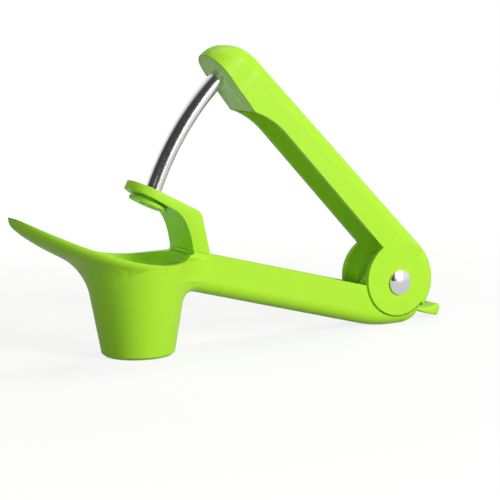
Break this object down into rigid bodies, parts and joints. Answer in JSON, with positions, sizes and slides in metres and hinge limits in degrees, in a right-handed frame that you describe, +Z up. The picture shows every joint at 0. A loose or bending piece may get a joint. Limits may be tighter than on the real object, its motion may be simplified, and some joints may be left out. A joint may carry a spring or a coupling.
{
  "type": "cherry pitter with lever",
  "caption": "Hand tool with a sprung lever: a bent steel rod passes through a guide into a dished seat over an open cup, with a scoop tray in front and a sliding lock behind.",
  "frame": {"origin": "centre of the bounding box, on the plane the cup and the tail stand on", "axes": "+X from the tray tip to the lock's finger lip, +Y across the tool along the hinge axis, +Z up; rest pose is the lever sprung open and the lock pulled out"},
  "size_m": [0.197, 0.0422, 0.1199],
  "materials": {
    "lime_plastic": "glossy moulded plastic",
    "insert_plastic": "glossy moulded plastic",
    "polished_steel": "polished",
    "plain_steel": "plain"
  },
  "bodies": {
    "base": {"lower_body": "lime_plastic", "guide_arm": "lime_plastic", "guide_bush": "lime_plastic", "arm_screw": "plain_steel", "hinge_pin": "polished_steel", "hinge_pin_cap": "polished_steel", "spring_sleeve": "lime_plastic", "torsion_spring": "plain_steel"},
    "lever": {"lever_shell": "lime_plastic", "plunger_holder": "insert_plastic", "plunger_rod": "polished_steel", "rod_cross_pin": "plain_steel"},
    "lock": {"lock_slide": "lime_plastic"}
  },
  "joints": [
    {"name": "lever_hinge", "type": "hinge", "parent": "base", "child": "lever", "pos_m": [0.07246, 0, 0.01825], "axis": [0, -1, 0], "range_deg": [0, 25], "stiffness_Nm_per_rad": 0.6, "springref_deg": -25.78, "deforming": ["torsion_spring"]},
    {"name": "lock_slide", "type": "slide", "parent": "base", "child": "lock", "axis": [-0.9655, 0, 0.2605], "range_m": [0, 0.0045]}
  ]
}
